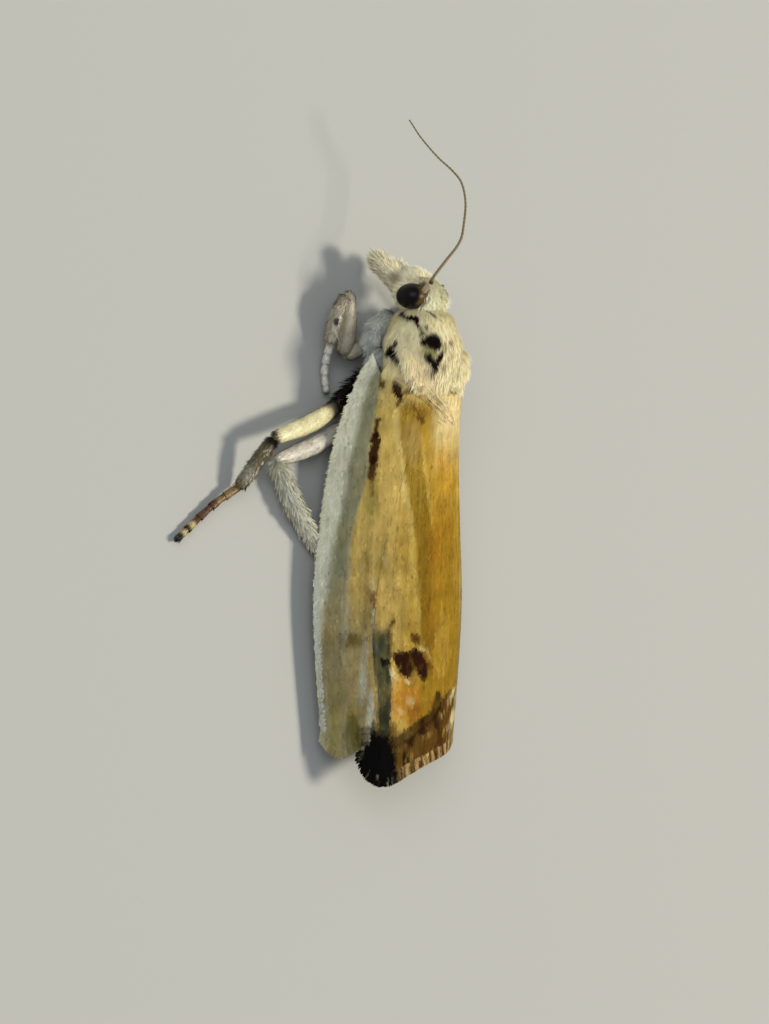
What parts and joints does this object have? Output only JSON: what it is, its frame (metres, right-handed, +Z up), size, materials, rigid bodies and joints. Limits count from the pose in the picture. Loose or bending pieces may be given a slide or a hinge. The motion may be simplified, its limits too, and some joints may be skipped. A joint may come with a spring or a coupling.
{
  "type": "moth",
  "caption": "Life-size still model of a small pale moth at rest, its wings folded over the back, one middle leg stretched out to the side.",
  "frame": {"origin": "on the floor, under the middle of the moth's bounding box", "axes": "+Z up, -Y towards the head, +X towards the moth's left side"},
  "size_m": [0.0102, 0.0188, 0.0033],
  "materials": {
    "wing_scales": "overlapping pale ochre and cream scales with dark marks",
    "hindwing_scales": "fine pale scales with a silky sheen",
    "body_hair": "soft cream white hair-like scales with black spots",
    "abdomen_scales": "close lying pale tan scales",
    "leg_scales": "cream scales banded with brown black",
    "antenna": "thin olive brown ringed thread",
    "eye": "glossy black brown with fine facets"
  },
  "bodies": {
    "root": {"forewing_right": "wing_scales", "forewing_left": "wing_scales", "hindwing_right": "hindwing_scales", "hindwing_left": "hindwing_scales", "head": "body_hair", "eye_left": "eye", "eye_right": "eye", "palp_left": "body_hair", "palp_right": "body_hair", "antenna_left_base": "antenna", "antenna_left_middle": "antenna", "antenna_left_tip": "antenna", "antenna_right_base": "antenna", "antenna_right_tip": "antenna", "tegula_left": "body_hair", "tegula_right": "body_hair", "collar": "body_hair", "thorax": "body_hair", "abdomen": "abdomen_scales", "coxa_front_left": "leg_scales", "femur_front_left": "leg_scales", "tibia_front_left": "leg_scales", "tarsus_front_left": "leg_scales", "coxa_middle_left": "leg_scales", "femur_middle_left": "leg_scales", "tibia_middle_left": "leg_scales", "tarsus_middle_left": "leg_scales", "coxa_hind_left": "leg_scales", "femur_hind_left": "leg_scales", "tibia_hind_left": "leg_scales", "tarsus_hind_left": "leg_scales", "coxa_front_right": "leg_scales", "femur_front_right": "leg_scales", "tibia_front_right": "leg_scales", "tarsus_front_right": "leg_scales", "coxa_middle_right": "leg_scales", "femur_middle_right": "leg_scales", "tibia_middle_right": "leg_scales", "tarsus_middle_right": "leg_scales", "coxa_hind_right": "leg_scales", "femur_hind_right": "leg_scales", "tibia_hind_right": "leg_scales", "tarsus_hind_right": "leg_scales"}
  },
  "joints": []
}
